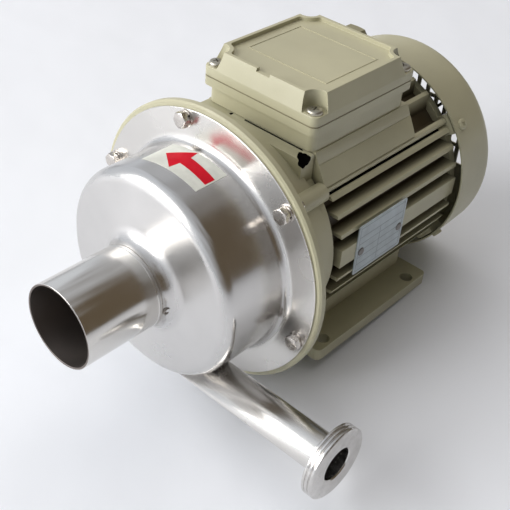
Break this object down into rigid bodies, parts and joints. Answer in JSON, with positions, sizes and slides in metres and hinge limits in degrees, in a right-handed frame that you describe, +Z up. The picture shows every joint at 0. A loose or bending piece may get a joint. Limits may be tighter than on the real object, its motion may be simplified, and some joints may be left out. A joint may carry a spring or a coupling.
{
  "type": "sanitary centrifugal pump",
  "caption": "Hygienic centrifugal pump: spun stainless casing with straight suction tube and tangential discharge union, bolted to a finned electric motor on feet.",
  "frame": {"origin": "centre of the suction mouth, on the shaft axis", "axes": "+Y along the shaft from the suction mouth to the fan cowl, +X the way the discharge points, +Z up to the terminal box"},
  "size_m": [0.254, 0.354, 0.2123],
  "materials": {
    "stainless": "polished",
    "fastener_steel": "satin",
    "motor_paint": "satin",
    "seal_carbon": "matte",
    "seal_rubber": "matte",
    "lamination": "matte",
    "copper_winding": "satin",
    "rotor_aluminium": "cast",
    "bearing_steel": "ground",
    "shaft_steel": "turned",
    "black_plastic": "matte",
    "brass_studs": "satin",
    "plate_metal": "printed",
    "label_film": "satin"
  },
  "bodies": {
    "motor": {"casing": "stainless", "suction_tube": "stainless", "discharge_tube": "stainless", "discharge_union": "stainless", "back_plate": "stainless", "casing_ring": "seal_rubber", "seal_seat": "seal_carbon", "casing_bolts": "fastener_steel", "casing_washers": "fastener_steel", "casing_spring_washers": "fastener_steel", "direction_label": "label_film", "front_shield": "motor_paint", "frame": "motor_paint", "foot_left": "motor_paint", "foot_right": "motor_paint", "foot_screws": "fastener_steel", "nameplate": "plate_metal", "nameplate_rivets": "rotor_aluminium", "stator_core": "lamination", "windings": "copper_winding", "front_bearing_outer": "bearing_steel", "rear_bearing_outer": "bearing_steel", "preload_washer": "fastener_steel", "rear_shield": "motor_paint", "tie_bolts": "fastener_steel", "fan_cowl": "motor_paint", "cowl_screws": "fastener_steel", "box_base": "motor_paint", "box_screws": "fastener_steel", "box_gasket": "seal_rubber", "box_lid": "motor_paint", "lid_screws": "fastener_steel", "terminal_block": "black_plastic", "terminal_studs": "brass_studs", "gland_body": "motor_paint", "gland_nut": "motor_paint"},
    "rotor": {"impeller": "stainless", "impeller_key": "stainless", "impeller_nut": "stainless", "seal_ring": "seal_carbon", "seal_spring": "stainless", "shaft": "shaft_steel", "slinger": "seal_rubber", "rotor_core": "lamination", "rotor_cage": "rotor_aluminium", "front_bearing_inner": "bearing_steel", "rear_bearing_inner": "bearing_steel", "fan": "black_plastic", "fan_clip": "fastener_steel"}
  },
  "joints": [
    {"name": "shaft_spin", "type": "hinge", "parent": "motor", "child": "rotor", "pos_m": [0, 0.2, 0], "axis": [0, 1, 0], "continuous": true}
  ]
}
